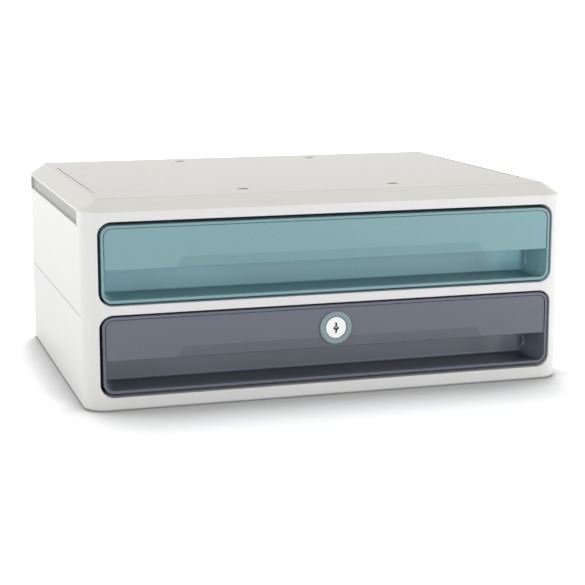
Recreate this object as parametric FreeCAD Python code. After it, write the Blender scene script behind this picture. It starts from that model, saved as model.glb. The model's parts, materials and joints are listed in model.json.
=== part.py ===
import FreeCAD, Part
import math
import os

# Letter tray stack: a moulded casing with two drawers, the lower one with a cam lock.
# Millimetres. X runs across, Y back, Z up. Depths are given as u, the distance back from the front face.

# Casing, outside
width = 380.0
depth = 290.0
corner_radius = 17.0
bottom_edge_radius = 2.0
foot_proud = 0.6
border_width = 13.0
border_rise = 8.7

# Windows in the front frame and the strips round them
window_height = 61.4
window_radius = 10.0
window_edge_radius = 0.7
side_strip = 10.9
lower_strip = 9.65
window_bar = 6.8
upper_strip = 7.05

# Casing, walls and parting lines
wall = 2.5
roof_thickness = 2.2
frame_depth = 18.0
frame_face = 3.0
sleeve_wall = 3.4
seam_drop = 3.4
seam_gap = 0.7
seam_recess = 1.2
fit_gap = 0.3

# Groove along each side under the lip, and the marks on the raised top
lip_thickness = 1.3
groove_height = 10.8
groove_depth = 2.0
groove_front_block = 7.0
groove_back_block = 18.0
skirt_wall = 2.5
lid_gap = 0.6
latch_pocket_length = 9.0
latch_pocket_width = 7.0
latch_pocket_depth = 3.4
latch_pocket_wall = 1.6
latch_pocket_x = 60.5
latch_pocket_front = 40.7
latch_pocket_back_inset = 35.8
side_line_inset = 3.8
side_line_width = 1.1
side_line_depth = 0.8
side_line_front = 65.0
side_line_back_inset = 62.0
side_notch_length = 5.0
side_notch_front = 50.0

# Flanges, posts and tongues that join the casing's pieces
flange_thickness = 2.0
top_flange_width = 6.5
seam_flange_width = 7.5
post_radius = 3.8
post_inset = 5.0
front_post_u = 48.0
back_post_inset = 28.0
tongue_reach = 10.0
tongue_root = 8.0
tongue_thickness = 2.2
tongue_height = 20.0
tongue_overlap = 0.4

# Long casing screws from below and short shelf screws
casing_screw_radius = 1.5
casing_screw_clearance = 0.2
casing_screw_head_radius = 2.7
casing_screw_head_height = 2.0
casing_screw_grip = 14.0
post_hole_spare = 4.0
shelf_screw_radius = 1.2
shelf_screw_head_radius = 2.4
shelf_screw_head_height = 1.2
shelf_screw_inset = 3.9
shelf_screw_front = 100.0
shelf_screw_back_inset = 95.0
shelf_screw_end = 0.5

# Middle shelf
shelf_thickness = 2.0
shelf_setback = 6.0

# Rubber feet
foot_radius = 8.0
foot_recess = 1.2
foot_fit = 0.2
foot_side_inset = 32.0
foot_end_inset = 40.0
foot_edge = 0.3

# Drawer fronts: a pan with a rim, set in each window, the lower one a little higher in its window
front_gap_side = 2.2
front_gap_total = 4.3
upper_front_gap_below = 1.7
lower_front_gap_below = 2.8
front_set = 0.6
rim_side = 1.8
rim_top = 2.0
rim_bottom = 2.3
rim_edge_radius = 0.6
ledge_u = 16.0
ledge_width = 1.0
recess_u = 35.0
recess_corner = 8.0
recess_fillet = 2.0
pan_back_corner = 4.0
pan_back_wall = 3.0

# Grip flap over the upper part of each pan
flap_set = 1.0
flap_thickness = 2.6
flap_gap = 0.35
flap_skirt = 1.8
flap_height = 30.3
flap_edge_radius = 0.5
pad_inset = 53.6
pad_lean = 4.5
pad_height = 8.0
pad_thickness = 1.6

# Drawer trays
tray_side_gap = 5.1
tray_drop = 3.0
tray_top_gap = 12.4
tray_back_gap = 8.0
tray_wall = 2.0
tray_floor = 2.0
tray_corner = 8.0
tray_lip = 1.0
tray_lip_height = 2.0
tray_rib_height = 0.8
tray_rib_width = 2.0
tray_rib_count = 5
tray_rib_margin = 25.0
drawer_screw_radius = 1.25
drawer_screw_head_radius = 2.6
drawer_screw_head_height = 1.4
drawer_screw_tip = 0.8
drawer_screw_height = 20.0
drawer_screw_inset = 24.0
drawer_screw_pitch = 80.0

# Runners, and the clips that stop a tray's lugs when the drawer is fully out
runner_gap = 0.3
guide_gap = 0.7
rail_width = 12.7
runner_wall = 2.0
guide_wall = 2.4
guide_height = 8.0
runner_front_gap = 1.5
runner_back_gap = 12.0
stop_inset = 29.1
stop_length = 6.0
stop_height = 6.0
lug_length = 4.0
lug_height = 4.0
lug_lift = 0.6
lug_reach = 2.8

# Cam lock in the lower flap, a little right of the middle
lock_x = 0.8
lock_drop = 15.3
ring_radius = 12.5
ring_bore = 8.7
ring_proud = 1.6
ring_edge_radius = 0.7
face_radius = 8.1
face_set = 0.25
face_edge_radius = 0.4
face_back_gap = 0.3
plug_radius = 6.0
plug_running_gap = 0.05
housing_radius = 9.0
housing_flange_radius = 11.0
housing_flange = 0.8
housing_end_gap = 0.4
housing_fit = 0.15
nut_radius = 12.4
nut_thickness = 3.0
nut_flats = 6
cam_gap = 0.6
cam_thickness = 2.5
cam_tip_gap = 1.0
cam_half_width = 6.0
cam_square = 3.0
cam_slot_end = 2.0
cam_slot_play = 0.7
cam_screw_radius = 1.6
cam_screw_head_radius = 4.2
cam_screw_head_height = 2.0
cam_screw_depth = 6.0
key_slot_half_height = 4.1
key_slot_half_width = 0.95
key_slot_step = 2.3
key_slot_depth = 1.0
key_pin_radius = 0.45
strike_half = 15.0
strike_thickness = 1.0
strike_margin = 0.8

# One overrun serves every cut, and one tolerance finds edges by their place
over = 5.0
fuzz = 0.001

# Places that follow from the sizes above: heights first
lower_sill = foot_proud + lower_strip
upper_sill = lower_sill + window_height + window_bar
edge_height = upper_sill + window_height + upper_strip
top_height = edge_height + border_rise
border_slope = border_rise / border_width
roof_drop = roof_thickness * math.hypot(1, border_slope)
groove_top = edge_height - lip_thickness
groove_bottom = groove_top - groove_height
casing_floor = foot_proud + wall
seam_height = lower_sill + window_height - seam_drop
seam_flange_top = seam_height + flange_thickness
shelf_top = seam_flange_top + shelf_thickness
screw_top = seam_height + casing_screw_grip
front_height = window_height - front_gap_total
upper_front_low = upper_sill + upper_front_gap_below
lower_front_low = lower_sill + lower_front_gap_below
flap_top = front_height - rim_top - flap_gap
lock_height = lower_front_low + flap_top - lock_drop
cam_reach = upper_sill - cam_tip_gap - lock_height
tray_height = window_height - tray_drop - tray_top_gap

# Places across
half_width = width / 2
window_half = half_width - side_strip
front_half = window_half - front_gap_side
front_radius = window_radius - front_gap_side
pocket_half = front_half - rim_side
pad_half_low = pocket_half - pad_inset
pad_half_high = pad_half_low - pad_lean
tray_half = window_half - tray_side_gap
guide_inner = tray_half + guide_gap
guide_outer = guide_inner + guide_wall
runner_inner = guide_inner - rail_width
side_line_x = half_width - border_width - side_line_inset
post_x = half_width - wall - post_inset
shelf_screw_x = half_width - wall - shelf_screw_inset
foot_x = half_width - foot_side_inset
drawer_screw_x = tray_half - drawer_screw_inset

# Places from front to back
ring_front = flap_set - ring_proud
front_y = -(depth + ring_front) / 2
groove_start = frame_depth + groove_front_block
groove_end = depth - groove_back_block
shelf_front = frame_depth + shelf_setback
pan_u = recess_u + pan_back_wall
runner_start = pan_u + runner_front_gap
runner_end = depth - runner_back_gap
tray_end = depth - tray_back_gap
lug_back = tray_end - tray_corner
lug_front = lug_back - lug_length
back_post_u = depth - back_post_inset
shelf_screw_back = depth - shelf_screw_back_inset
foot_back = depth - foot_end_inset
latch_pocket_back = depth - latch_pocket_back_inset
latch_pocket_floor = top_height - latch_pocket_depth
side_line_back = depth - side_line_back_inset
cam_u = frame_depth + cam_gap
housing_end = cam_u - housing_end_gap


def at(x, u, z):
    """A point given by its depth behind the front face."""
    return FreeCAD.Vector(x, front_y + u, z)


def box(x0, x1, u0, u1, z0, z1):
    return Part.makeBox(x1 - x0, u1 - u0, z1 - z0, at(x0, u0, z0))


def post(x, u, z0, z1, radius):
    """Upright cylinder."""
    return Part.makeCylinder(radius, z1 - z0, at(x, u, z0))


def rod(x, z, u0, u1, radius):
    """Cylinder that runs back from the front."""
    return Part.makeCylinder(radius, u1 - u0, at(x, u0, z), FreeCAD.Vector(0, 1, 0))


def corner_arc(corner, before, after, radius):
    """The two tangent points and the middle of the arc that rounds a right-angled corner."""
    start = corner + (before - corner).normalize() * radius
    end = corner + (after - corner).normalize() * radius
    centre = start + end - corner
    middle = centre + (corner - centre).normalize() * radius
    return start, middle, end


def rounded_wire(corners, radii):
    """Closed wire through right-angled corners, each with its own radius, or 0 for a sharp one."""
    stops = []
    for index, corner in enumerate(corners):
        before = corners[index - 1]
        after = corners[(index + 1) % len(corners)]
        if radii[index] > 0:
            stops.append(corner_arc(corner, before, after, radii[index]))
        else:
            stops.append((corner, corner, corner))
    edges = []
    for index, (start, middle, end) in enumerate(stops):
        if radii[index] > 0:
            edges.append(Part.Arc(start, middle, end).toShape())
        next_start = stops[(index + 1) % len(stops)][0]
        edges.append(Part.makeLine(end, next_start))
    return Part.Wire(edges)


def plan_wire(inset, z, front=0, back=depth):
    """The casing's outline seen from above, drawn in by inset, at height z."""
    x = half_width - inset
    radius = corner_radius - inset
    corners = [at(-x, front + inset, z), at(x, front + inset, z), at(x, back - inset, z), at(-x, back - inset, z)]
    return rounded_wire(corners, [radius] * len(corners))


def plan_prism(inset, z0, z1):
    face = Part.Face(plan_wire(inset, z0))
    return face.extrude(FreeCAD.Vector(0, 0, z1 - z0))


def roof(inset_low, z_low, inset_high, z_high):
    """Sloped border between two outlines, filled."""
    return Part.makeLoft([plan_wire(inset_low, z_low), plan_wire(inset_high, z_high)], True, True)


def front_prism(x_half, z0, z1, radii, u0, u1):
    """Rounded rectangle in the front plane, extruded back. Radii run from the lower left corner."""
    corners = [at(-x_half, u0, z0), at(x_half, u0, z0), at(x_half, u0, z1), at(-x_half, u0, z1)]
    face = Part.Face(rounded_wire(corners, radii))
    return face.extrude(FreeCAD.Vector(0, u1 - u0, 0))


def tub_prism(x_half, u0, u1, z0, z1, front_radius, back_radius):
    """Upright block with rounded vertical corners."""
    corners = [at(-x_half, u0, z0), at(x_half, u0, z0), at(x_half, u1, z0), at(-x_half, u1, z0)]
    face = Part.Face(rounded_wire(corners, [front_radius, front_radius, back_radius, back_radius]))
    return face.extrude(FreeCAD.Vector(0, 0, z1 - z0))


def section_prism(points, u0, u1):
    """Polygon given as (x, z) pairs, extruded back."""
    corners = [at(x, u0, z) for x, z in points]
    face = Part.Face(Part.makePolygon(corners + corners[:1]))
    return face.extrude(FreeCAD.Vector(0, u1 - u0, 0))


def edges_at(shape, u):
    """Edges that lie wholly in the plane at depth u."""
    y = front_y + u
    found = []
    for edge in shape.Edges:
        bounds = edge.BoundBox
        if abs(bounds.YMin - y) < fuzz and abs(bounds.YMax - y) < fuzz:
            found.append(edge)
    return found


def edges_at_height(shape, z):
    found = []
    for edge in shape.Edges:
        bounds = edge.BoundBox
        if abs(bounds.ZMin - z) < fuzz and abs(bounds.ZMax - z) < fuzz:
            found.append(edge)
    return found


def mirrored(shape):
    """The same piece on the other side."""
    return shape.mirror(at(0, 0, 0), FreeCAD.Vector(1, 0, 0))


def both_sides(shape):
    return [shape, mirrored(shape)]


def corners_of(x, front, back):
    """The four places of a pattern that is symmetric across the unit."""
    return [(side * x, u) for side in (-1, 1) for u in (front, back)]


def roofed_space(inset, floor_z):
    """The space under the sloped roof, drawn in by inset and open down to floor_z."""
    low_z = edge_height + inset * border_slope - roof_drop
    high_z = top_height - roof_thickness
    high_inset = inset + (high_z - low_z) / border_slope
    return plan_prism(inset, floor_z, low_z).fuse(roof(inset, low_z, high_inset, high_z))


def body_block():
    """The casing's outer form, solid."""
    lower = plan_prism(0, foot_proud, edge_height)
    lower = lower.makeFillet(bottom_edge_radius, edges_at_height(lower, foot_proud))
    return lower.fuse(roof(0, edge_height, border_width, top_height)).removeSplitter()


def hollow_block():
    """The space inside the casing's walls."""
    return roofed_space(wall, casing_floor)


def window_cut(sill, grow, u0, u1):
    """A window's opening, grown outwards by grow."""
    radius = window_radius + grow
    return front_prism(window_half + grow, sill - grow, sill + window_height + grow, [radius] * 4, u0, u1)


def front_frame(block, hollow):
    """Bezel round both windows: face, outer skirt and a sleeve round each window."""
    slab = box(-width, width, 0, frame_depth, 0, top_height)
    frame = block.common(slab)
    pocket = hollow.common(box(-width, width, frame_face, frame_depth + over, 0, top_height))
    for sill in (lower_sill, upper_sill):
        pocket = pocket.cut(window_cut(sill, sleeve_wall, 0, frame_depth + over))
    frame = frame.cut(pocket)
    for sill in (lower_sill, upper_sill):
        frame = frame.cut(window_cut(sill, 0, -over, frame_depth + over))
    frame = frame.makeFillet(window_edge_radius, window_edges(frame))
    inner = half_width - wall
    for middle in (lower_sill + window_height / 2, upper_sill + window_height / 2):
        z0 = middle - tongue_height / 2
        z1 = middle + tongue_height / 2
        x1 = inner - fit_gap
        root = box(x1 - tongue_thickness, inner + tongue_overlap, frame_depth - tongue_root, frame_depth, z0, z1)
        blade = box(x1 - tongue_thickness, x1, frame_depth - tongue_root, frame_depth + tongue_reach, z0, z1)
        for piece in both_sides(root.fuse(blade)):
            frame = frame.fuse(piece)
    return frame.cut(lock_strike()).removeSplitter()


def window_edges(frame):
    """The windows' edges in the front face, without the outline of the face itself."""
    low = front_y - fuzz
    reach = window_half + fuzz
    around = (-reach, low, lower_sill - fuzz, reach, front_y + fuzz, upper_sill + window_height + fuzz)
    limits = FreeCAD.BoundBox(*around)
    return [edge for edge in edges_at(frame, 0) if limits.isInside(edge.BoundBox)]


def lock_strike():
    """Steel plate let into the back of the bar, which the cam bears on."""
    z0 = lower_sill + window_height + strike_margin
    z1 = upper_sill - strike_margin
    return box(-strike_half, strike_half, frame_depth - strike_thickness, frame_depth, z0, z1)


def joint_shadow(z0, height):
    """Shallow rebate round the outside, which shows as a fine dark line at a joint."""
    return plan_prism(-over, z0, z0 + height).cut(plan_prism(seam_recess, z0, z0 + height))


def behind_frame(z0, z1):
    return box(-width, width, frame_depth, depth + over, z0, z1)


def lower_shell(block, hollow):
    shell = block.cut(hollow).common(behind_frame(0, seam_height))
    for x, u in corners_of(post_x, front_post_u, back_post_u):
        shell = shell.fuse(post(x, u, foot_proud + wall / 2, seam_height, post_radius))
    for x, u in corners_of(post_x, front_post_u, back_post_u):
        hole_radius = casing_screw_radius + casing_screw_clearance
        shell = shell.cut(post(x, u, 0, seam_height + over, hole_radius))
        head_radius = casing_screw_head_radius + casing_screw_clearance
        shell = shell.cut(post(x, u, 0, casing_floor + casing_screw_head_height, head_radius))
    for x, u in corners_of(foot_x, foot_end_inset, foot_back):
        shell = shell.cut(post(x, u, 0, foot_proud + foot_recess, foot_radius + foot_fit))
    return shell


def flange(z0, z1, reach):
    """Inward flange along the sides and back."""
    ring = plan_prism(wall / 2, z0, z1).cut(plan_prism(wall + reach, z0, z1))
    return ring.common(behind_frame(z0, z1))


def upper_shell(block, hollow):
    shell = block.cut(hollow).common(behind_frame(seam_height, groove_bottom))
    shell = shell.fuse(flange(seam_height, seam_flange_top, seam_flange_width))
    shell = shell.fuse(flange(groove_bottom - flange_thickness, groove_bottom, top_flange_width))
    for x, u in corners_of(post_x, front_post_u, back_post_u):
        shell = shell.fuse(post(x, u, seam_height, groove_bottom - flange_thickness / 2, post_radius))
    for x, u in corners_of(post_x, front_post_u, back_post_u):
        shell = shell.cut(post(x, u, seam_height - over, screw_top + post_hole_spare, casing_screw_radius))
    for x, u in corners_of(shelf_screw_x, shelf_screw_front, shelf_screw_back):
        shell = shell.cut(post(x, u, seam_height - over, seam_flange_top + over, shelf_screw_radius))
    return shell.cut(joint_shadow(seam_height, seam_gap)).removeSplitter()


def round_ended(x, u, length, breadth, z0, z1):
    """Upright block with two round ends, longer across."""
    radius = breadth / 2
    shift = length / 2 - radius
    block = box(x - shift, x + shift, u - radius, u + radius, z0, z1)
    for end in (-shift, shift):
        block = block.fuse(post(x + end, u, z0, z1, radius))
    return block


def latch_pocket(x, u):
    """Blind pocket in the raised top."""
    return round_ended(x, u, latch_pocket_length, latch_pocket_width, latch_pocket_floor, top_height + over)


def latch_boss(x, u):
    """The thicker place under the roof that holds a latch pocket."""
    grow = 2 * latch_pocket_wall
    return round_ended(x, u, latch_pocket_length + grow, latch_pocket_width + grow,
                       latch_pocket_floor - latch_pocket_wall, top_height - roof_thickness / 2)


def top_panel(block):
    """Raised top with its sloped borders, a groove under the lip on each side and latch pockets."""
    panel = block.common(behind_frame(groove_bottom, top_height + over))
    panel = panel.cut(roofed_space(wall, groove_bottom - over))
    inner = half_width - groove_depth
    backing = box(inner - skirt_wall, half_width, groove_start - skirt_wall, groove_end + skirt_wall,
                  groove_bottom, top_height).common(block)
    for side in both_sides(backing):
        panel = panel.fuse(side)
    channel = box(inner, half_width + over, groove_start, groove_end, groove_bottom - over, groove_top)
    headroom = roofed_space(groove_depth + skirt_wall, groove_bottom - over)
    for space in both_sides(channel) + [headroom, joint_shadow(groove_bottom, lid_gap)]:
        panel = panel.cut(space)
    for x, u in corners_of(latch_pocket_x, latch_pocket_front, latch_pocket_back):
        panel = panel.fuse(latch_boss(x, u)).cut(latch_pocket(x, u))
    line = box(side_line_x - side_line_width / 2, side_line_x + side_line_width / 2,
               side_line_front, side_line_back, top_height - side_line_depth, top_height + over)
    notch = box(side_line_x - side_line_width, side_line_x + side_line_width,
                side_notch_front, side_notch_front + side_notch_length, top_height - side_line_depth, top_height + over)
    for mark in both_sides(line) + both_sides(notch):
        panel = panel.cut(mark)
    return panel.removeSplitter()


def middle_shelf():
    shelf = plan_prism(wall + fit_gap, seam_flange_top, shelf_top)
    shelf = shelf.common(box(-width, width, shelf_front, depth, seam_flange_top, shelf_top))
    for x, u in corners_of(post_x, front_post_u, back_post_u):
        shelf = shelf.cut(post(x, u, seam_flange_top - over, shelf_top + over, post_radius + fit_gap))
        outward = math.copysign(half_width, x)
        low, high = sorted((x, outward))
        reach = post_radius + fit_gap
        shelf = shelf.cut(box(low, high, u - reach, u + reach, seam_flange_top - over, shelf_top + over))
    for x, u in corners_of(shelf_screw_x, shelf_screw_front, shelf_screw_back):
        shelf = shelf.cut(post(x, u, seam_flange_top - over, shelf_top + over, shelf_screw_radius))
    return shelf


def casing_screws():
    """Four long screws that clamp the two shells, heads in the underside."""
    screws = []
    for x, u in corners_of(post_x, front_post_u, back_post_u):
        seat = casing_floor + casing_screw_head_height
        head = post(x, u, seat - casing_screw_head_height, seat, casing_screw_head_radius)
        screws.append(head.fuse(post(x, u, seat - casing_screw_head_height / 2, screw_top, casing_screw_radius)))
    return screws


def shelf_screws():
    screws = []
    for x, u in corners_of(shelf_screw_x, shelf_screw_front, shelf_screw_back):
        shank = post(x, u, seam_height + shelf_screw_end, shelf_top + shelf_screw_head_height / 2, shelf_screw_radius)
        head = post(x, u, shelf_top, shelf_top + shelf_screw_head_height, shelf_screw_head_radius)
        screws.append(shank.fuse(head))
    return screws


def rubber_foot(x, u):
    foot = post(x, u, 0, foot_proud + foot_recess, foot_radius)
    return foot.makeFillet(foot_edge, edges_at_height(foot, 0))


def runner(seat, tray_base):
    """Right-hand runner: a hollow rail under the tray with a guide wall beside it."""
    top = tray_base - runner_gap
    rail = box(runner_inner, guide_outer, runner_start, runner_end, seat, top)
    rail = rail.cut(box(runner_inner + runner_wall, guide_outer - runner_wall, runner_start - over, runner_end + over,
                        seat - over, top - runner_wall))
    return rail.fuse(box(guide_inner, guide_outer, runner_start, runner_end, top, top + guide_height)).removeSplitter()


def guide_top(tray_base):
    return tray_base - runner_gap + guide_height


def stop_pair(tray_base):
    """A clip on each guide wall that the tray's lug meets when the drawer is fully out."""
    front = runner_start + stop_inset
    z0 = guide_top(tray_base)
    clip = box(guide_inner, guide_outer, front, front + stop_length, z0, z0 + stop_height)
    return both_sides(clip)


def drawer_tray(tray_base):
    """Open tray with a thin lip, floor ribs and a stop lug on each side at the back."""
    top = tray_base + tray_height
    tray = tub_prism(tray_half, pan_u, tray_end, tray_base, top, tray_corner, tray_corner)
    lip = tub_prism(tray_half + tray_lip, pan_u, tray_end + tray_lip, top - tray_lip_height, top, tray_corner, tray_corner)
    tray = tray.fuse(lip)
    floor_top = tray_base + tray_floor
    inner_corner = tray_corner - tray_wall
    hollow = tub_prism(tray_half - tray_wall, pan_u + tray_wall, tray_end - tray_wall, floor_top, top + over,
                       inner_corner, inner_corner)
    tray = tray.cut(hollow)
    first = pan_u + tray_rib_margin
    pitch = (tray_end - tray_rib_margin - first) / (tray_rib_count - 1)
    for index in range(tray_rib_count):
        u = first + index * pitch
        rib = box(-tray_half + tray_rib_margin, tray_half - tray_rib_margin, u - tray_rib_width / 2,
                  u + tray_rib_width / 2, tray_base + tray_floor / 2, floor_top + tray_rib_height)
        tray = tray.fuse(rib)
    lug_low = guide_top(tray_base) + lug_lift
    lug = box(tray_half - tray_wall / 2, tray_half + lug_reach, lug_front, lug_back, lug_low, lug_low + lug_height)
    for piece in both_sides(lug):
        tray = tray.fuse(piece)
    for x, z in drawer_screw_places(tray_base):
        tray = tray.cut(rod(x, z, pan_u - over, pan_u + tray_wall + over, drawer_screw_radius))
    return tray.removeSplitter()


def drawer_screw_places(tray_base):
    z = tray_base + drawer_screw_height
    inner_x = drawer_screw_x - drawer_screw_pitch
    return [(x, z) for x in (-drawer_screw_x, -inner_x, inner_x, drawer_screw_x)]


def drawer_screws(tray_base):
    """Screws that hold the front pan to the tray, heads inside the tray."""
    seat = pan_u + tray_wall
    screws = []
    for x, z in drawer_screw_places(tray_base):
        shank = rod(x, z, recess_u + drawer_screw_tip, seat + drawer_screw_head_height / 2, drawer_screw_radius)
        head = rod(x, z, seat, seat + drawer_screw_head_height, drawer_screw_head_radius)
        screws.append(shank.fuse(head))
    return screws


def drawer_front(z0, tray_base):
    """Pan that fills the window: rim, pocket for the flap, ledge behind it and the deep recess."""
    z1 = z0 + front_height
    pan = front_prism(front_half, z0, z1, [front_radius] * 4, front_set, pan_u)
    pan = pan.makeFillet(rim_edge_radius, edges_at(pan, front_set))
    pan = pan.common(tub_prism(front_half, front_set - over, pan_u, z0 - over, z1 + over, 0, pan_back_corner))
    floor_z = z0 + rim_bottom
    roof_z = z1 - rim_top
    pocket_radius = front_radius - rim_side
    pan = pan.cut(front_prism(pocket_half, floor_z, roof_z, [pocket_radius] * 4, front_set - over, ledge_u))
    radii = [recess_corner, recess_corner, pocket_radius, pocket_radius]
    deep = front_prism(pocket_half - ledge_width, floor_z, roof_z - ledge_width, radii, ledge_u - over, recess_u)
    pan = pan.cut(deep.makeFillet(recess_fillet, edges_at(deep, recess_u)))
    for x, z in drawer_screw_places(tray_base):
        pan = pan.cut(rod(x, z, recess_u + drawer_screw_tip, pan_u + over, drawer_screw_radius))
    return pan


def cam_slot():
    """Slot in the lower pan's roof that the lock's cam swings up through."""
    top = lower_front_low + front_height
    return box(lock_x - cam_half_width - cam_slot_end, lock_x + cam_reach,
               cam_u - cam_slot_play, cam_u + cam_thickness + cam_slot_play,
               top - rim_top - ledge_width - over, top + over)


def drawer_flap(front_low):
    """Grip plate with a turned-back skirt on three sides and a thicker pad along its lower edge."""
    top = front_low + flap_top
    low = top - flap_height
    x_half = pocket_half - flap_gap
    radius = front_radius - rim_side - flap_gap
    inner = radius - flap_skirt
    plate_back = flap_set + flap_thickness
    flap = front_prism(x_half, low, top, [0, 0, radius, radius], flap_set, ledge_u)
    space = front_prism(x_half - flap_skirt, low - over, top - flap_skirt, [0, 0, inner, inner], plate_back, ledge_u + over)
    flap = flap.cut(space)
    flap = flap.makeFillet(flap_edge_radius, edges_at(flap, flap_set))
    pad = section_prism([(-pad_half_low, low), (pad_half_low, low), (pad_half_high, low + pad_height),
                         (-pad_half_high, low + pad_height)], plate_back - flap_thickness / 2, plate_back + pad_thickness)
    return flap.fuse(pad).removeSplitter()


def lower_flap():
    """The lower flap has the lock's hole, a seat for the housing's flange and room for its nut."""
    flap = drawer_flap(lower_front_low)
    flap = flap.cut(rod(lock_x, lock_height, flap_set + flap_thickness, ledge_u + over, nut_radius + fit_gap))
    flap = flap.cut(rod(lock_x, lock_height, flap_set - over, ledge_u + over, housing_radius + housing_fit))
    seat_radius = housing_flange_radius + housing_fit
    return flap.cut(rod(lock_x, lock_height, flap_set - over, flap_set + housing_flange, seat_radius))


def lock_ring():
    ring = rod(lock_x, lock_height, ring_front, flap_set, ring_radius)
    ring = ring.cut(rod(lock_x, lock_height, ring_front - over, flap_set + over, ring_bore))
    return ring.makeFillet(ring_edge_radius, edges_at(ring, ring_front))


def lock_housing():
    """Tube with a front flange, which the plug turns in."""
    tube = rod(lock_x, lock_height, flap_set, housing_end, housing_radius)
    tube = tube.fuse(rod(lock_x, lock_height, flap_set, flap_set + housing_flange, housing_flange_radius))
    return tube.cut(rod(lock_x, lock_height, flap_set - over, housing_end + over, plug_radius + plug_running_gap))


def lock_nut():
    """Hexagonal nut that clamps the housing behind the flap."""
    u0 = flap_set + flap_thickness
    points = []
    for index in range(nut_flats):
        angle = 2 * math.pi * (index + 1 / 2) / nut_flats
        points.append((lock_x + nut_radius * math.cos(angle), lock_height + nut_radius * math.sin(angle)))
    nut = section_prism(points, u0, u0 + nut_thickness)
    return nut.cut(rod(lock_x, lock_height, u0 - over, u0 + nut_thickness + over, housing_radius))


def key_slot():
    """Keyhole with the stepped wards of a flat key, upright when the lock is open."""
    h = key_slot_half_height
    w = key_slot_half_width
    s = key_slot_step
    outline = [(-w, h), (w / 2, h), (w, h / 2), (w / 2, w), (s, 0), (s, -w), (w, -h / 2), (w / 2, -h),
               (-w, -h), (-w / 2, -h / 2), (-s, -w), (-s, 0), (-w, w), (-w / 2, h / 2)]
    points = [(lock_x + x, lock_height + z) for x, z in outline]
    face = ring_front + face_set
    slot = section_prism(points, face - over, face + key_slot_depth)
    return slot.cut(rod(lock_x, lock_height, face - over, face + key_slot_depth, key_pin_radius))


def lock_plug():
    """White face, round body and the square tail that carries the cam."""
    face_u = ring_front + face_set
    face = rod(lock_x, lock_height, face_u, flap_set - face_back_gap, face_radius)
    face = face.makeFillet(face_edge_radius, edges_at(face, face_u))
    plug = face.fuse(rod(lock_x, lock_height, flap_set - face_back_gap - face_edge_radius, cam_u, plug_radius))
    tail = box(lock_x - cam_square, lock_x + cam_square, cam_u - cam_gap, cam_u + cam_thickness,
               lock_height - cam_square, lock_height + cam_square)
    plug = plug.fuse(tail)
    plug = plug.cut(key_slot())
    screw_u = cam_u + cam_thickness
    return plug.cut(rod(lock_x, lock_height, screw_u - cam_screw_depth, screw_u + over, cam_screw_radius))


def lock_cam():
    """Flat cam, pointing sideways while the lock is open."""
    u1 = cam_u + cam_thickness
    z0 = lock_height - cam_half_width
    z1 = lock_height + cam_half_width
    cam = box(lock_x, lock_x + cam_reach, cam_u, u1, z0, z1)
    cam = cam.fuse(rod(lock_x, lock_height, cam_u, u1, cam_half_width))
    cam = cam.cut(box(lock_x - cam_square, lock_x + cam_square, cam_u - over, u1 + over,
                      lock_height - cam_square, lock_height + cam_square))
    return cam.removeSplitter()


def cam_screw():
    u = cam_u + cam_thickness
    shank = rod(lock_x, lock_height, u - cam_screw_depth, u + cam_screw_head_height / 2, cam_screw_radius)
    return shank.fuse(rod(lock_x, lock_height, u, u + cam_screw_head_height, cam_screw_head_radius))


def save(name, *shapes):
    """Write one node, a single solid or a group of separate ones."""
    solids = [solid for shape in shapes for solid in shape.Solids]
    result = solids[0] if len(solids) == 1 else Part.makeCompound(solids)
    result.exportStep(os.path.join("parts", name + ".step"))
    volume = sum(solid.Volume for solid in solids)
    print(f"{name:24s} {len(solids)} solids, {volume / 1000:9.2f} cm3, valid {result.isValid()}")


def save_sides(name, shape):
    """Write a right-hand piece and its mirror image as two nodes."""
    save("right_" + name, shape)
    save("left_" + name, mirrored(shape))


def main():
    os.makedirs("parts", exist_ok=True)
    block = body_block()
    hollow = hollow_block()
    lower_tray_base = lower_sill + tray_drop
    upper_tray_base = upper_sill + tray_drop

    save("front_frame", front_frame(block, hollow))
    save("lower_shell", lower_shell(block, hollow))
    save("upper_shell", upper_shell(block, hollow))
    save("top_panel", top_panel(block))
    save("middle_shelf", middle_shelf())
    save("lock_strike", lock_strike())
    save("casing_screws", *casing_screws())
    save("shelf_screws", *shelf_screws())
    for name, x, u in (("front_left_foot", -foot_x, foot_end_inset), ("front_right_foot", foot_x, foot_end_inset),
                       ("back_left_foot", -foot_x, foot_back), ("back_right_foot", foot_x, foot_back)):
        save(name, rubber_foot(x, u))
    save_sides("lower_runner", runner(casing_floor, lower_tray_base))
    save_sides("upper_runner", runner(shelf_top, upper_tray_base))
    save("lower_drawer_stops", *stop_pair(lower_tray_base))
    save("upper_drawer_stops", *stop_pair(upper_tray_base))

    save("upper_drawer_tray", drawer_tray(upper_tray_base))
    save("upper_drawer_front", drawer_front(upper_front_low, upper_tray_base))
    save("upper_drawer_flap", drawer_flap(upper_front_low))
    save("upper_drawer_screws", *drawer_screws(upper_tray_base))

    save("lower_drawer_tray", drawer_tray(lower_tray_base))
    save("lower_drawer_front", drawer_front(lower_front_low, lower_tray_base).cut(cam_slot()))
    save("lower_drawer_flap", lower_flap())
    save("lower_drawer_screws", *drawer_screws(lower_tray_base))
    save("lock_ring", lock_ring())
    save("lock_housing", lock_housing())
    save("lock_nut", lock_nut())

    save("lock_plug", lock_plug())
    save("lock_cam", lock_cam())
    save("cam_screw", cam_screw())


main()
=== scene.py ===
import json
import math

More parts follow.
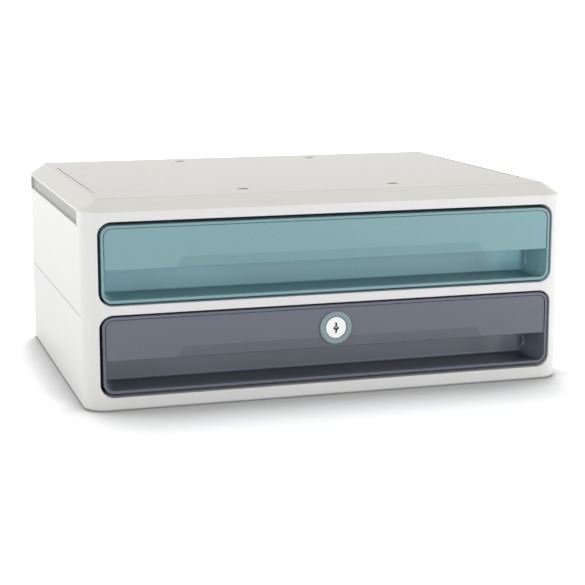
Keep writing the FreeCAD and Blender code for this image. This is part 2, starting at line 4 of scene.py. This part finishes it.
import bpy
import bmesh
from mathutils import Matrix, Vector


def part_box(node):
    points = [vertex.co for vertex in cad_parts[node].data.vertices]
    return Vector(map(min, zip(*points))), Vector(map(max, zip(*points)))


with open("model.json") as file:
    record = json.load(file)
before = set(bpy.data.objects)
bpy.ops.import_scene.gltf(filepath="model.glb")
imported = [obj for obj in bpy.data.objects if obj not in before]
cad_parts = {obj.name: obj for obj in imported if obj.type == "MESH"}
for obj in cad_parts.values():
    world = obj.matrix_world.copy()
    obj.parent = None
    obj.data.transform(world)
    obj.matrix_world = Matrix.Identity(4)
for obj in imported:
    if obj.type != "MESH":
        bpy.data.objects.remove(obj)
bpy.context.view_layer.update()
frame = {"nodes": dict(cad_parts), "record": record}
NODES = frame["nodes"]
MM = 0.001

# Everything is placed from the CAD nodes' own boxes
FRONT_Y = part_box("front_frame")[0].y
TOP_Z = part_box("top_panel")[1].z
HALF_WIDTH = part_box("front_frame")[1].x

PLAIN = (1, 1, 1)


# Camera: fitted to the photograph, in millimetres from the front face and degrees
CAMERA_X = -363.34
CAMERA_BACK = -1074.55
CAMERA_HEIGHT = 294.21
CAMERA_YAW = 17.059
CAMERA_PITCH = 10.722
FOCAL_PIXELS = 1531.70
PHOTO_PIXELS = 585
SENSOR_MM = 36.0
CLIP_NEAR = 0.01
CLIP_FAR = 20
LEVEL_ANGLE = 90


def make_camera():
    data = bpy.data.cameras.new("camera")
    data.sensor_width = SENSOR_MM
    data.sensor_fit = "HORIZONTAL"
    data.lens = FOCAL_PIXELS / PHOTO_PIXELS * SENSOR_MM
    data.clip_start = CLIP_NEAR
    data.clip_end = CLIP_FAR
    camera = bpy.data.objects.new("camera", data)
    bpy.context.scene.collection.objects.link(camera)
    camera.location = (CAMERA_X * MM, FRONT_Y + CAMERA_BACK * MM, CAMERA_HEIGHT * MM)
    camera.rotation_euler = (math.radians(LEVEL_ANGLE - CAMERA_PITCH), 0, -math.radians(CAMERA_YAW))
    bpy.context.scene.camera = camera


# The part of a noise's range that spread() uses
NOISE_LOW = 0.3
NOISE_HIGH = 0.7


class Graph:
    """A material's nodes, built by short calls."""

    def __init__(self, name):
        self.material = bpy.data.materials.new(name)
        self.material.use_nodes = True
        self.tree = self.material.node_tree
        self.tree.nodes.clear()
        self.output = self.tree.nodes.new("ShaderNodeOutputMaterial")
        self.position = self.tree.nodes.new("ShaderNodeTexCoord").outputs["Object"]

    def add(self, kind, settings=None, **inputs):
        """A node. Its inputs are given by name, or as i0, i1 and so on by place."""
        made = self.tree.nodes.new("ShaderNode" + kind)
        for key, value in (settings or {}).items():
            setattr(made, key, value)
        for key, value in inputs.items():
            by_place = key[0] == "i" and key[1:].isdigit()
            socket = made.inputs[int(key[1:])] if by_place else made.inputs[key.replace("_", " ")]
            if isinstance(value, bpy.types.NodeSocket):
                self.tree.links.new(value, socket)
            else:
                socket.default_value = value
        return made

    def math(self, operation, a, b=0.0, c=0.0):
        return self.add("Math", {"operation": operation}, i0=a, i1=b, i2=c).outputs[0]

    def axes(self):
        made = self.add("SeparateXYZ", i0=self.position)
        return made.outputs[0], made.outputs[1], made.outputs[2]

    def noise(self, size_mm, detail=3.0, roughness=0.5, stretch=None):
        """Noise whose features are about size_mm across, with values round 0.5."""
        where = self.position
        if stretch:
            where = self.add("Mapping", Vector=where, Scale=stretch).outputs[0]
        made = self.add("TexNoise", Vector=where, Scale=1 / (size_mm * MM), Detail=detail,
                        Roughness=roughness)
        return made.outputs[0]

    def line(self, value, start, end, low, high):
        """Maps start..end to low..high in a straight line, held at its ends."""
        made = self.add("MapRange", {"clamp": True}, Value=value, From_Min=start, From_Max=end,
                        To_Min=low, To_Max=high)
        return made.outputs[0]

    def spread(self, value, low, high):
        """Maps the middle of a noise to low..high."""
        return self.line(value, NOISE_LOW, NOISE_HIGH, low, high)

    def ramp(self, value, start, end):
        """0 at start, 1 at end, smooth between."""
        made = self.add("MapRange", {"interpolation_type": "SMOOTHSTEP"}, Value=value, From_Min=start,
                        From_Max=end)
        return made.outputs[0]

    def curve(self, value, points):
        """A number drawn through (value, result) points, straight between them."""
        made = self.add("ValToRGB", Fac=value)
        stops = made.color_ramp.elements
        while len(stops) < len(points):
            stops.new(1.0)
        for stop, (place, level) in zip(stops, points):
            stop.position = place
            stop.color = (level, level, level, 1.0)
        return made.outputs[0]

    def band(self, value, low, high, blend):
        """1 between low and high, 0 outside, smooth over blend."""
        return self.both(self.ramp(value, low - blend, low + blend),
                         self.ramp(value, high + blend, high - blend))

    def both(self, a, b):
        """The product of two numbers, so a place that is in both of two masks."""
        return self.math("MULTIPLY", a, b)

    def mix(self, factor, a, b):
        made = self.add("Mix", {"data_type": "RGBA"}, Factor=factor)
        for socket, value in ((made.inputs[6], a), (made.inputs[7], b)):
            if isinstance(value, bpy.types.NodeSocket):
                self.tree.links.new(value, socket)
            else:
                socket.default_value = (*value, 1.0)
        return made.outputs[2]

    def scaled(self, color, factor):
        """A colour times a number that varies over the surface."""
        made = self.add("VectorMath", {"operation": "SCALE"}, Scale=factor)
        if isinstance(color, bpy.types.NodeSocket):
            self.tree.links.new(color, made.inputs[0])
        else:
            made.inputs[0].default_value = color
        return made.outputs[0]

    def tinted(self, color, tint):
        """A colour times another."""
        return self.add("VectorMath", {"operation": "MULTIPLY"}, i0=color, i1=tint).outputs[0]

    def bump(self, height, strength, depth_mm):
        return self.add("Bump", Height=height, Strength=strength, Distance=depth_mm * MM).outputs[0]

    def surface(self, color, roughness, normal, **constants):
        shader = self.add("BsdfPrincipled")
        for name, value in (("Base Color", color), ("Roughness", roughness), ("Normal", normal)):
            self.tree.links.new(value, shader.inputs[name])
        for name, value in constants.items():
            shader.inputs[name.replace("_", " ")].default_value = value
        self.tree.links.new(shader.outputs[0], self.output.inputs["Surface"])
        return self.material


# Moulding marks that the opaque plastics share: wide flow clouds, mottle and a fine grain
FLOW_MM = 90.0
FLOW_STRETCH = (1.0, 0.5, 1.6)
FLOW_ROUGHNESS = 0.45
WIDE_DETAIL = 2.0
GRAIN_ROUGHNESS = 0.6
MOTTLE_ROUGHNESS = 0.55
MOTTLE_DETAIL = 3.0
MOTTLE_PER_GRAIN = 14
MOULDED_DRIFT = 0.015
MOULDED_MOTTLE = 0.004
MOULDED_SHEEN = (-0.03, 0.04)
MOULDED_BUMP = 0.35


def moulded(name, color, grain_mm, grain_depth, rough, specular):
    """Opaque moulding or plate: a fine even grain, faint flow clouds and slightly uneven sheen."""
    g = Graph(name)
    clouds = g.noise(FLOW_MM, WIDE_DETAIL, FLOW_ROUGHNESS, stretch=FLOW_STRETCH)
    grain = g.noise(grain_mm, WIDE_DETAIL, GRAIN_ROUGHNESS)
    mottle = g.noise(grain_mm * MOTTLE_PER_GRAIN, MOTTLE_DETAIL, MOTTLE_ROUGHNESS)
    tone = g.spread(clouds, 1 - MOULDED_DRIFT, 1 + MOULDED_DRIFT)
    fine = g.spread(mottle, 1 - MOULDED_MOTTLE, 1 + MOULDED_MOTTLE)
    body = g.scaled(color, g.both(tone, fine))
    sheen = g.spread(mottle, rough + MOULDED_SHEEN[0], rough + MOULDED_SHEEN[1])
    normal = g.bump(grain, MOULDED_BUMP, grain_depth)
    return g.surface(body, sheen, normal, Specular_IOR_Level=specular)


WHITE = (0.80, 0.797, 0.79)
TEAL = (0.204, 0.370, 0.400)
SLATE = (0.127, 0.141, 0.181)
RING = (0.235, 0.33, 0.355)
PLUG = (0.96, 0.98, 0.985)
ZINC = (0.5, 0.5, 0.49)
RUBBER = (0.03, 0.03, 0.03)

# Casing tones, in millimetres below the top face and behind the front face. They are painted shade: the top
# is darker than the front and sides, its flat middle darker still, and the groove walls and latch pockets
# are grey.
EDGE_DROP = 8.7
EDGE_BLEND = 0.35
TOP_PAINTED_SHADE = (0.84, 0.835, 0.80)
TOP_DULLNESS = 0.10
PLATEAU_SKIN = (0.5, 0.1)
PLATEAU_PAINTED_SHADE = (0.75, 0.745, 0.715)
GROOVE_DROP = 10.2
GROOVE_DEPTH = 1.3
GROOVE_NEAR = 24.5
GROOVE_FAR = 272.5
GROOVE_PAINTED_SHADE = (0.46, 0.46, 0.46)
POCKET_DROP = 0.12
POCKET_HALF = 100.0
POCKET_NEAR = 13.5
POCKET_FAR = 276.5
POCKET_PAINTED_SHADE = (0.50, 0.50, 0.50)
PAINTED_SHADE_BLEND = 0.12

# Casing finish
CASING_GRAIN = 0.45
CASING_GRAIN_DEPTH = 0.02
CASING_BUMP = 0.35
CASING_MOTTLE = 6.3
CASING_DRIFT = 0.004
CASING_FINE = 0.003
CASING_SHEEN = (0.41, 0.45)
CASING_SPECULAR = 0.18


def below_top(drop_mm):
    return TOP_Z - drop_mm * MM


def behind_front(depth_mm):
    return FRONT_Y + depth_mm * MM


def top_panel_painted_shade(g, tint):
    """Painted shade: the groove walls and the latch pockets of the top are painted grey."""
    x, y, z = g.axes()
    across = g.math("ABSOLUTE", x)
    blend = PAINTED_SHADE_BLEND * MM
    wall_x = HALF_WIDTH - GROOVE_DEPTH * MM
    wall_z = below_top(GROOVE_DROP)
    wall = g.both(g.ramp(across, wall_x + blend, wall_x - blend), g.ramp(z, wall_z + blend, wall_z - blend))
    wall = g.both(wall, g.band(y, behind_front(GROOVE_NEAR), behind_front(GROOVE_FAR), blend))
    # painted shade on the groove walls
    tint = g.mix(wall, tint, GROOVE_PAINTED_SHADE)
    pocket_x = POCKET_HALF * MM
    pocket_z = below_top(POCKET_DROP)
    deep = g.both(g.ramp(across, pocket_x + blend, pocket_x - blend), g.ramp(z, pocket_z, pocket_z - blend))
    deep = g.both(deep, g.band(y, behind_front(POCKET_NEAR), behind_front(POCKET_FAR), blend))
    # painted shade inside the latch pockets
    return g.mix(deep, tint, POCKET_PAINTED_SHADE)


def casing_plastic(name, top_panel):
    """White moulding with a fine grain and a duller, rougher top; painted shade darkens the top, and on the
    top panel the groove walls and latch pockets.
    """
    g = Graph(name)
    z = g.axes()[2]
    grain = g.noise(CASING_GRAIN, WIDE_DETAIL, GRAIN_ROUGHNESS)
    mottle = g.noise(CASING_MOTTLE, MOTTLE_DETAIL, MOTTLE_ROUGHNESS)
    drift = g.noise(FLOW_MM, WIDE_DETAIL, FLOW_ROUGHNESS, stretch=FLOW_STRETCH)
    even = g.both(g.spread(drift, 1 - CASING_DRIFT, 1 + CASING_DRIFT),
                  g.spread(mottle, 1 - CASING_FINE, 1 + CASING_FINE))
    top = g.ramp(z, below_top(EDGE_DROP + EDGE_BLEND), below_top(EDGE_DROP - EDGE_BLEND))
    plateau = g.ramp(z, below_top(PLATEAU_SKIN[0]), below_top(PLATEAU_SKIN[1]))
    # painted shade: the top darker than the front and sides, its flat middle darker still
    tint = g.mix(top, PLAIN, g.mix(plateau, TOP_PAINTED_SHADE, PLATEAU_PAINTED_SHADE))
    if top_panel:
        tint = top_panel_painted_shade(g, tint)
    body = g.tinted(g.scaled(WHITE, even), tint)
    normal = g.bump(grain, CASING_BUMP, CASING_GRAIN_DEPTH)
    sheen = g.math("ADD", g.spread(mottle, *CASING_SHEEN), g.math("MULTIPLY", top, TOP_DULLNESS))
    return g.surface(body, sheen, normal, Specular_IOR_Level=CASING_SPECULAR)


# Floor: white out to the horizon, with a soft contact shade that follows the real shapes.
# The shade reaches far out in front of the unit and falls off sooner along its sides.
# Each pair of the two curves is an openness and the share of light left there
FLOOR_HALF = 6.0
FLOOR_CELLS = 2
FLOOR_ALBEDO = 0.86
FLOOR_SHEEN = 0.75
FLOOR_SPECULAR = 0.2
FLOOR_GLOW = 0.45
FAR_GLOW = 0.9
FAR_START = 0.45
FAR_END = 1.6
DUST_MM = 40.0
DUST_SPREAD = 0.005
OPENNESS_SAMPLES = 12
CONTACT_REACH = 0.1
CONTACT_FRONT = (
    (0.34, 0.31), (0.56, 0.34), (0.62, 0.46), (0.65, 0.53), (0.70, 0.65),
    (0.74, 0.76), (0.79, 0.86), (0.84, 0.94), (0.90, 1.0),
)
CONTACT_SIDE = (
    (0.45, 0.25), (0.52, 0.35), (0.54, 0.45), (0.56, 0.57), (0.58, 0.68),
    (0.60, 0.76), (0.63, 0.87), (0.68, 1.0),
)
CONTACT_TURN = (0.0, 0.04)


def contact_shade(g):
    """The share of light that the floor keeps near the unit, from how open it lies."""
    openness = g.add("AmbientOcclusion", {"samples": OPENNESS_SAMPLES}, Distance=CONTACT_REACH).outputs["AO"]
    beside = g.ramp(g.axes()[1], FRONT_Y + CONTACT_TURN[0], FRONT_Y + CONTACT_TURN[1])
    front, side = g.curve(openness, CONTACT_FRONT), g.curve(openness, CONTACT_SIDE)
    return g.add("Mix", Factor=beside, A=front, B=side).outputs[0]


def floor_material():
    g = Graph("floor_white")
    dust = g.noise(DUST_MM)
    shade = contact_shade(g)
    tone = g.both(g.spread(dust, 1 - DUST_SPREAD, 1 + DUST_SPREAD), shade)
    color = g.scaled((FLOOR_ALBEDO, FLOOR_ALBEDO, FLOOR_ALBEDO), tone)
    shader = g.add("BsdfPrincipled", Roughness=FLOOR_SHEEN, Base_Color=color)
    shader.inputs["Specular IOR Level"].default_value = FLOOR_SPECULAR
    path = g.add("LightPath").outputs
    seen = g.math("MAXIMUM", path["Is Camera Ray"], path["Is Transmission Ray"])
    seen = g.math("MAXIMUM", seen, path["Is Glossy Ray"])
    distance = g.add("VectorMath", {"operation": "LENGTH"}, i0=g.position).outputs["Value"]
    far = g.math("MULTIPLY", g.ramp(distance, FAR_START, FAR_END), FAR_GLOW)
    level = g.math("ADD", g.math("MULTIPLY", shade, FLOOR_GLOW), far)
    glow = g.add("Emission", Color=(*PLAIN, 1), Strength=g.both(seen, level))
    together = g.add("AddShader", i0=shader.outputs[0], i1=glow.outputs[0])
    g.tree.links.new(together.outputs[0], g.output.inputs["Surface"])
    return g.material


def make_floor():
    bm = bmesh.new()
    bmesh.ops.create_grid(bm, x_segments=FLOOR_CELLS, y_segments=FLOOR_CELLS, size=FLOOR_HALF)
    mesh = bpy.data.meshes.new("floor")
    bm.to_mesh(mesh)
    bm.free()
    floor = bpy.data.objects.new("floor", mesh)
    bpy.context.scene.collection.objects.link(floor)
    mesh.materials.append(floor_material())


# Lamps: place, aimed at, size in metres, power in watts
WORLD_LEVEL = 0.4545
LAMPS = {
    "left_low": ((-1.75, -0.75, 0.20), (0, 0, 0.07), (1.1, 0.4), 9.8),
    "right_front": ((1.5, -1.4, 0.40), (0, 0, 0.07), (1.1, 0.8), 17.7),
    "back_top": ((0.1, 1.15, 2.0), (0, 0, 0.1), (1.8, 1.4), 34.9),
}


def area_light(name, location, target, size, power):
    data = bpy.data.lights.new(name, "AREA")
    data.shape = "RECTANGLE"
    data.size, data.size_y = size
    data.energy = power
    light = bpy.data.objects.new(name, data)
    bpy.context.scene.collection.objects.link(light)
    light.location = location
    light.rotation_euler = (Vector(target) - Vector(location)).to_track_quat("-Z", "Y").to_euler()


def make_world():
    """Plain light on the object, and white where the camera, gloss and glass see past it."""
    world = bpy.data.worlds.new("studio")
    bpy.context.scene.world = world
    world.use_nodes = True
    tree = world.node_tree
    tree.nodes.clear()
    output = tree.nodes.new("ShaderNodeOutputWorld")
    background = tree.nodes.new("ShaderNodeBackground")
    path = tree.nodes.new("ShaderNodeLightPath")
    pick = tree.nodes.new("ShaderNodeMapRange")
    pick.inputs["To Min"].default_value = WORLD_LEVEL
    pick.inputs["To Max"].default_value = 1.0
    seen = path.outputs["Is Camera Ray"]
    for kind in ("Is Glossy Ray", "Is Transmission Ray"):
        either = tree.nodes.new("ShaderNodeMath")
        either.operation = "MAXIMUM"
        tree.links.new(seen, either.inputs[0])
        tree.links.new(path.outputs[kind], either.inputs[1])
        seen = either.outputs[0]
    tree.links.new(seen, pick.inputs["Value"])
    background.inputs["Color"].default_value = (*PLAIN, 1)
    tree.links.new(pick.outputs[0], background.inputs["Strength"])
    tree.links.new(background.outputs[0], output.inputs["Surface"])


def make_lights():
    make_world()
    for name, (place, target, size, power) in LAMPS.items():
        area_light(name, place, target, size, power)
    bpy.context.scene.view_settings.view_transform = "Standard"


# Pad behind each flap, which shows through as a darker trapezoid, in millimetres
PAD_HEIGHT = 8.0
PAD_HALF_LOW = 121.5
PAD_LEAN = 4.5
PAD_ROUNDING = 3.5
PAD_EDGE = 0.35
PAD_TEAL = (0.81, 0.87, 0.86)
PAD_SLATE = (0.78, 0.76, 0.78)

# The pan's recess, in millimetres: its back wall carries painted light, standing for light through the thin
# wall, brighter at its top, and its floor carries painted shade all over but for the lip at the front
RECESS_BACK = 35.0
RECESS_BACK_BLEND = 1.6
RECESS_FLOOR_BLEND = 0.8
RECESS_WALL_TOP = 24.0
RECESS_FLOOR_DARK = 12.0
WALL_TEAL_PAINTED_LIGHT = (1.68, 1.69, 1.70)
WALL_TEAL_LOW_PAINTED_LIGHT = (1.20, 1.17, 1.19)
WALL_SLATE_PAINTED_LIGHT = (1.62, 1.64, 1.56)
WALL_SLATE_LOW_PAINTED_LIGHT = (1.25, 1.27, 1.20)
FLOOR_TEAL_PAINTED_SHADE = (0.48, 0.66, 0.70)
FLOOR_SLATE_PAINTED_SHADE = (0.45, 0.45, 0.46)
RIM_HEIGHT = 2.3
# The back wall's painted light is brighter towards either end, and the floor's painted shade is darker
# towards the right
WALL_LIFT = 1.36
WALL_LIFT_END = -0.3
WALL_RIGHT_LIFT = 1.15
WALL_RIGHT = (46.0, 12.0)
FLOOR_LEFT = 1.12
FLOOR_RIGHT = 0.74
# Painted light on the pan's side walls, in millimetres in from its ends and behind the front
SIDE_START = 11.0
SIDE_END = 5.0
SIDE_DEEP = (3.0, 9.0)
SIDE_WALL_PAINTED_LIGHT = (1.12, 1.14, 1.15)

# Finish of the dyed clear mouldings
DYED_ROUGHNESS = 0.28
DYED_CLOUDS = 60.0
DYED_STRETCH = (0.6, 1.0, 1.4)
DYED_DRIFT = 0.004
DYED_GRAIN = 0.35
DYED_GRAIN_DEPTH = 0.006
DYED_BUMP = 0.15
GLOSS_SPECULAR = 0.5


def plastic_body(g, color, tint=None):
    """Shared finish of the dyed clear mouldings: faint clouds, a fine grain and an even gloss."""
    clouds = g.noise(DYED_CLOUDS, WIDE_DETAIL, FLOW_ROUGHNESS, stretch=DYED_STRETCH)
    grain = g.noise(DYED_GRAIN, WIDE_DETAIL, GRAIN_ROUGHNESS)
    body = g.scaled(color, g.spread(clouds, 1 - DYED_DRIFT, 1 + DYED_DRIFT))
    if tint is not None:
        body = g.tinted(body, tint)
    sheen = g.spread(clouds, DYED_ROUGHNESS - DYED_DRIFT, DYED_ROUGHNESS + DYED_DRIFT)
    normal = g.bump(grain, DYED_BUMP, DYED_GRAIN_DEPTH)
    return g.surface(body, sheen, normal, Specular_IOR_Level=GLOSS_SPECULAR)


def flap_plastic(name, color, node, pad_tint):
    """Dyed plate, darker where the pad behind it makes it thick."""
    g = Graph(name)
    x, y, z = g.axes()
    above = g.math("SUBTRACT", z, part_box(node)[0].z)
    lean = g.math("MULTIPLY", above, PAD_LEAN / PAD_HEIGHT)
    beside = g.math("SUBTRACT", g.math("SUBTRACT", PAD_HALF_LOW * MM, g.math("ABSOLUTE", x)), lean)
    below = g.math("SUBTRACT", PAD_HEIGHT * MM, above)
    inside = g.math("SMOOTH_MIN", beside, below, PAD_ROUNDING * MM)
    pad = g.ramp(inside, -PAD_EDGE * MM, PAD_EDGE * MM)
    return plastic_body(g, color, g.mix(pad, PLAIN, pad_tint))


def pan_plastic(name, color, node, wall_painted_light, wall_low_painted_light, floor_painted_shade):
    """Dyed pan: painted light on its thin back wall stands for light through it, painted light brightens its
    side walls, and painted shade darkens its deep floor.
    """
    g = Graph(name)
    x, y, z = g.axes()
    low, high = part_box(node)
    half = high.x
    back = behind_front(RECESS_BACK)
    floor_z = low.z + RIM_HEIGHT * MM

    # painted shade on the recess floor, darker towards the right
    floor = g.ramp(z, floor_z + RECESS_FLOOR_BLEND * MM, floor_z)
    floor = g.both(floor, g.ramp(y, FRONT_Y, behind_front(RECESS_FLOOR_DARK)))
    tint = g.mix(floor, PLAIN, g.scaled(floor_painted_shade, g.line(x, -half, half, FLOOR_LEFT, FLOOR_RIGHT)))

    side = g.ramp(g.math("ABSOLUTE", x), half - SIDE_START * MM, half - SIDE_END * MM)
    side = g.both(side, g.ramp(y, behind_front(SIDE_DEEP[0]), behind_front(SIDE_DEEP[1])))
    # painted light on the side walls
    tint = g.mix(side, tint, SIDE_WALL_PAINTED_LIGHT)

    # painted light on the back wall, brighter towards either end and towards its top
    left_lift = g.line(x, -half, half * WALL_LIFT_END, WALL_LIFT, 1.0)
    right = g.ramp(x, half - WALL_RIGHT[0] * MM, half - WALL_RIGHT[1] * MM)
    lift = g.math("MULTIPLY_ADD", right, WALL_RIGHT_LIFT, left_lift)
    height = g.ramp(z, floor_z, floor_z + RECESS_WALL_TOP * MM)
    lit = g.scaled(g.mix(height, wall_low_painted_light, wall_painted_light), lift)
    wall = g.both(g.ramp(y, back - RECESS_BACK_BLEND * MM, back), g.math("SUBTRACT", 1.0, side))
    return plastic_body(g, color, g.mix(wall, tint, lit))


# The plug's keyhole is painted black inside, as painted shade of the deep hole; its little pin stands level
# with the face
KEYHOLE_REACH = 5.5
KEYHOLE_SKIN = 0.12
KEYHOLE_EDGE = 0.1
KEYHOLE_PAINTED_SHADE = (0.012, 0.012, 0.013)
PLUG_GRAIN = 0.3
PLUG_GRAIN_DEPTH = 0.008
PLUG_BUMP = 0.2
PLUG_SHEEN = (0.33, 0.40)


def plug_plastic(name):
    g = Graph(name)
    x, y, z = g.axes()
    low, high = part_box("lock_plug")
    dx = g.math("SUBTRACT", x, (low.x + high.x) / 2)
    dz = g.math("SUBTRACT", z, (low.z + high.z) / 2)
    radius = g.math("SQRT", g.math("ADD", g.both(dx, dx), g.both(dz, dz)))
    near = g.math("LESS_THAN", radius, KEYHOLE_REACH * MM)
    deep = g.ramp(y, low.y + KEYHOLE_SKIN * MM, low.y + (KEYHOLE_SKIN + KEYHOLE_EDGE) * MM)
    grain = g.noise(PLUG_GRAIN, WIDE_DETAIL, GRAIN_ROUGHNESS)
    # painted shade: black inside the keyhole below the face
    color = g.mix(g.both(near, deep), PLUG, KEYHOLE_PAINTED_SHADE)
    return g.surface(color, g.spread(grain, *PLUG_SHEEN), g.bump(grain, PLUG_BUMP, PLUG_GRAIN_DEPTH),
                     Specular_IOR_Level=GLOSS_SPECULAR)


# Small opaque pieces: colour, grain size and depth in millimetres, roughness, specular level
PLAIN_FINISHES = {
    "ring_plastic_satin": (RING, 0.3, 0.01, 0.35, 0.5),
    "zinc_plate": (ZINC, 0.2, 0.01, 0.35, 0.5),
    "foot_rubber_black": (RUBBER, 0.5, 0.03, 0.8, 0.3),
}


def assign(node, material):
    mesh = NODES[node].data
    mesh.materials.clear()
    mesh.materials.append(material)


def dress():
    plain = {name: moulded(name, *finish) for name, finish in PLAIN_FINISHES.items()}
    steel = plain["zinc_plate"]
    made = {
        "casing_white": casing_plastic("casing_plastic", False),
        "teal_plastic": plastic_body(Graph("teal_plastic_clear"), TEAL),
        "slate_plastic": plastic_body(Graph("slate_plastic_clear"), SLATE),
        "ring_plastic": plain["ring_plastic_satin"],
        "plug_plastic": plug_plastic("plug_plastic_white"),
        "lock_metal": steel,
        "screw_steel": steel,
        "foot_rubber": plain["foot_rubber_black"],
    }
    for entry in frame["record"]["subparts"]:
        assign(entry["node"], made[entry["material_slot"]])
    assign("top_panel", casing_plastic("top_panel_plastic", True))
    for drawer, color, pad_tint, wall_painted_light, wall_low_painted_light, floor_painted_shade in (
            ("upper_drawer", TEAL, PAD_TEAL, WALL_TEAL_PAINTED_LIGHT, WALL_TEAL_LOW_PAINTED_LIGHT, FLOOR_TEAL_PAINTED_SHADE),
            ("lower_drawer", SLATE, PAD_SLATE, WALL_SLATE_PAINTED_LIGHT, WALL_SLATE_LOW_PAINTED_LIGHT, FLOOR_SLATE_PAINTED_SHADE)):
        flap, pan = drawer + "_flap", drawer + "_front"
        assign(flap, flap_plastic(flap + "_plastic", color, flap, pad_tint))
        assign(pan, pan_plastic(pan + "_plastic", color, pan, wall_painted_light, wall_low_painted_light, floor_painted_shade))


make_camera()
make_floor()
make_lights()
dress()
